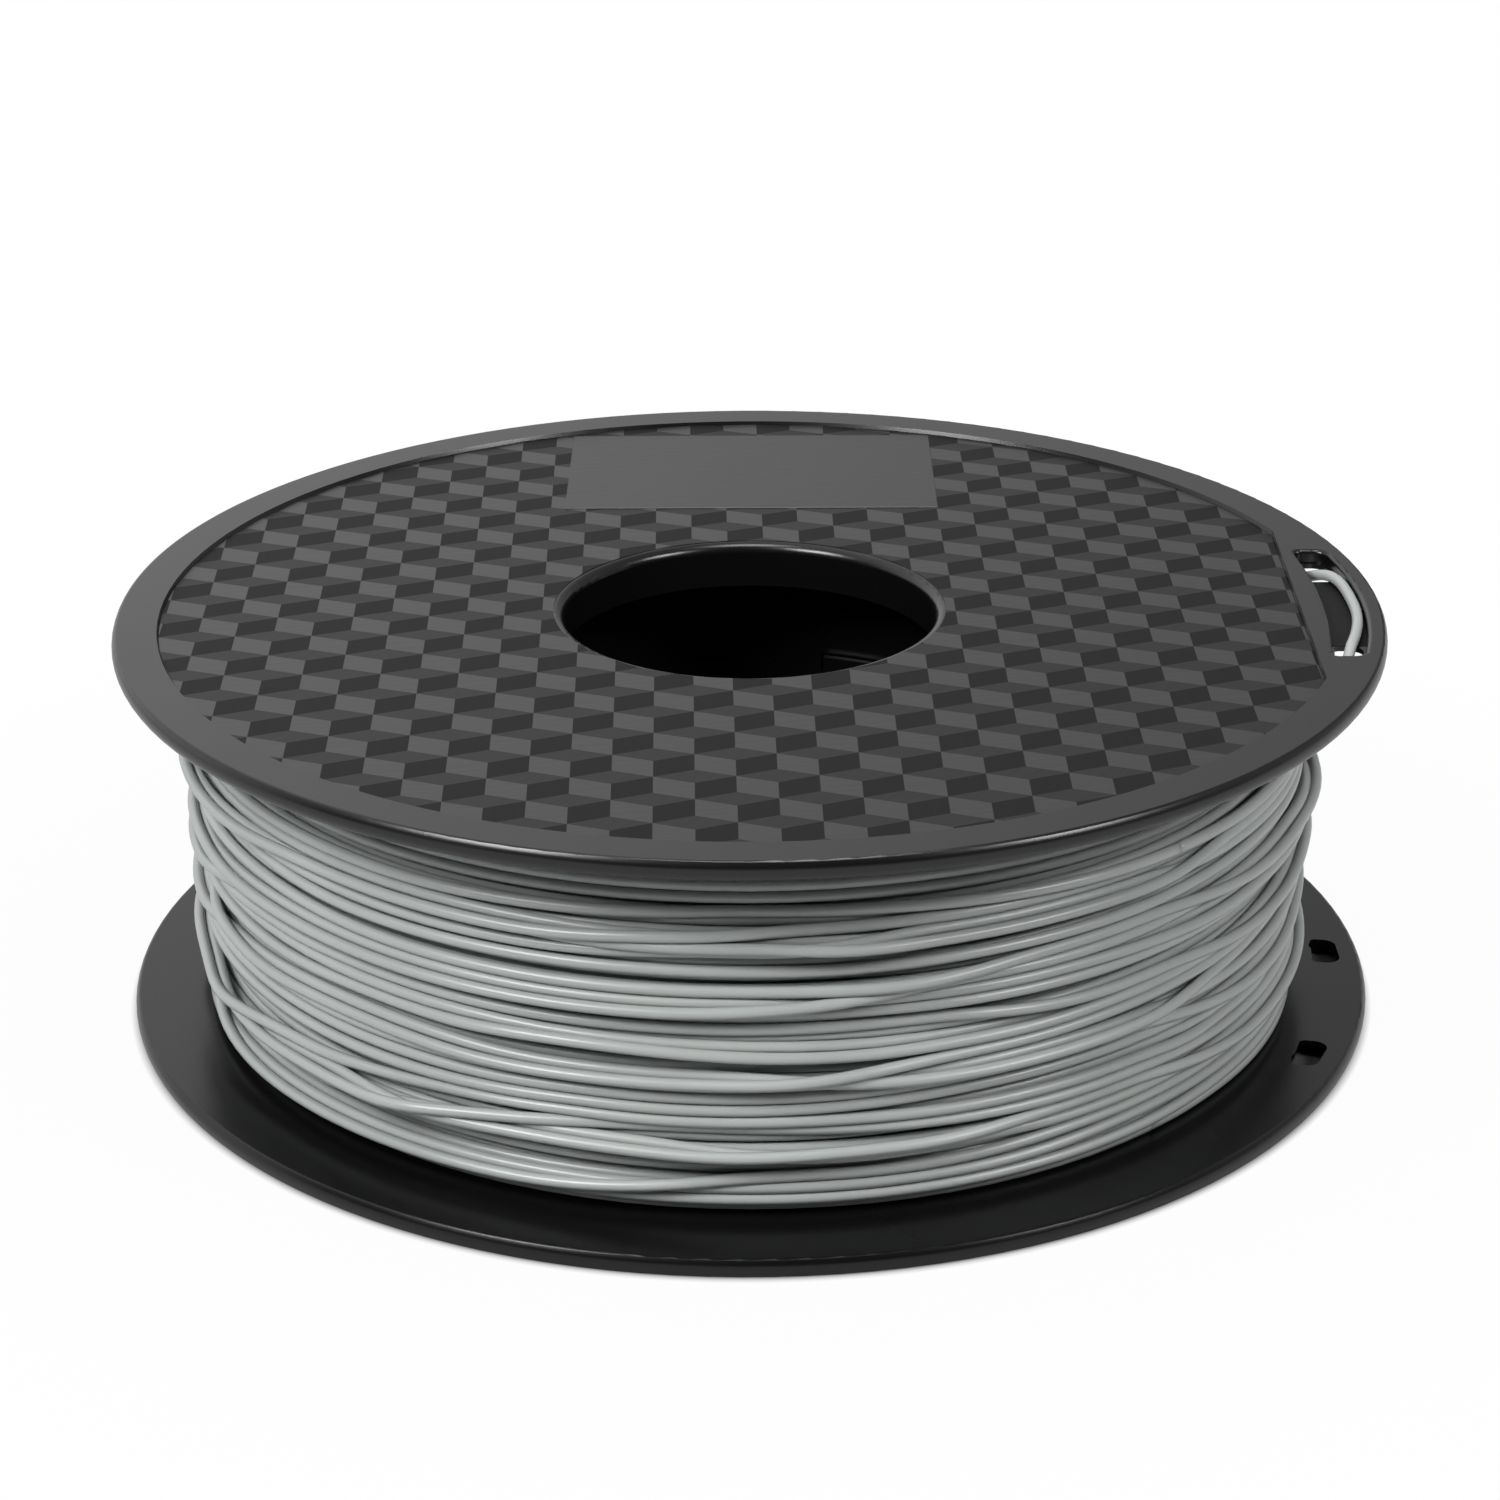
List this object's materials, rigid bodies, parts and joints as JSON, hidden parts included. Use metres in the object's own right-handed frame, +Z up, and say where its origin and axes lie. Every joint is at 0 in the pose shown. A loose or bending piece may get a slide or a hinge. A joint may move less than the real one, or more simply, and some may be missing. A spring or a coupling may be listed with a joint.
{
  "type": "filament spool",
  "caption": "Round spool of two snapped-together flanged halves with a central bore, wound full with round plastic filament, its free end laced through a slot in the upper flange.",
  "frame": {"origin": "centre of the lower flange's outer face, on which the spool stands", "axes": "+Z up along the bore; +X towards the filament slot of the upper flange"},
  "size_m": [0.2, 0.2, 0.0646],
  "materials": {
    "black_plastic": "moulded black plastic, fine satin",
    "grey_filament": "extruded light grey filament, satin sheen"
  },
  "bodies": {
    "root": {"upper_half": "black_plastic", "lower_half": "black_plastic", "filament_winding": "grey_filament", "filament_tail": "grey_filament"}
  },
  "joints": []
}
